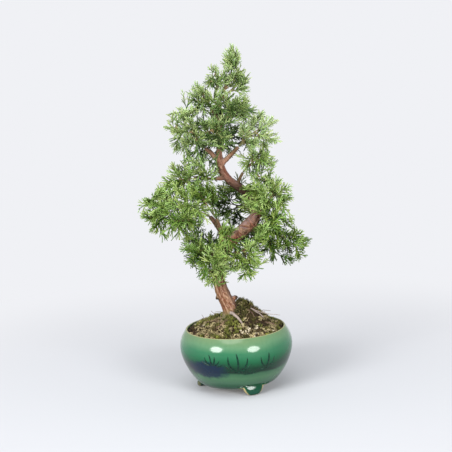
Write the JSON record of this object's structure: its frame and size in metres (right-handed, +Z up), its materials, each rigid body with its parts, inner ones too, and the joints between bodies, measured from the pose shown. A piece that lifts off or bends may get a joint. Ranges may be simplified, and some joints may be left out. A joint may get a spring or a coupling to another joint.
{
  "type": "potted juniper bonsai tree",
  "caption": "Small upright bonsai juniper with a winding trunk and pads of scale-leaf foliage, rooted in mossy soil in a round glazed pot on low feet.",
  "frame": {"origin": "on the surface that the pot's feet stand on, under the middle of the whole tree's and pot's bounding box", "axes": "+Z up along the tree's height; +X to the right and +Y away from the viewer, seen from the tree's front"},
  "size_m": [0.1554, 0.105, 0.3169],
  "materials": {
    "glaze": "glossy celadon to deep green glaze, darker towards the foot",
    "net": "black moulded net",
    "soil": "dark granular bonsai soil",
    "moss": "olive moss and dry straw-coloured sphagnum",
    "bark": "flaking pinkish brown juniper bark",
    "leaf": "scale leaves on fine forked cords, bright green at the tips"
  },
  "bodies": {
    "root": {"pot": "glaze", "drain_mesh": "net", "soil": "soil", "moss_mat": "moss", "trunk_and_limbs": "bark", "foliage_apex": "leaf", "foliage_apex_left": "leaf", "foliage_apex_right": "leaf", "foliage_crown_left": "leaf", "foliage_crown_top": "leaf", "foliage_crown_front": "leaf", "foliage_crown_right": "leaf", "foliage_crown_back": "leaf", "foliage_upper_left": "leaf", "foliage_upper_right": "leaf", "foliage_right_wisps": "leaf", "foliage_inner_top": "leaf", "foliage_mid_left_top": "leaf", "foliage_inner_left": "leaf", "foliage_mid_left_low": "leaf", "foliage_mid_right": "leaf", "foliage_inner_right": "leaf", "foliage_low_right": "leaf", "foliage_low_left": "leaf", "foliage_low_front": "leaf", "foliage_low_front_right": "leaf", "foliage_front_tuft": "leaf", "foliage_back_mid": "leaf", "foliage_back_right": "leaf", "foliage_back_left": "leaf"}
  },
  "joints": []
}
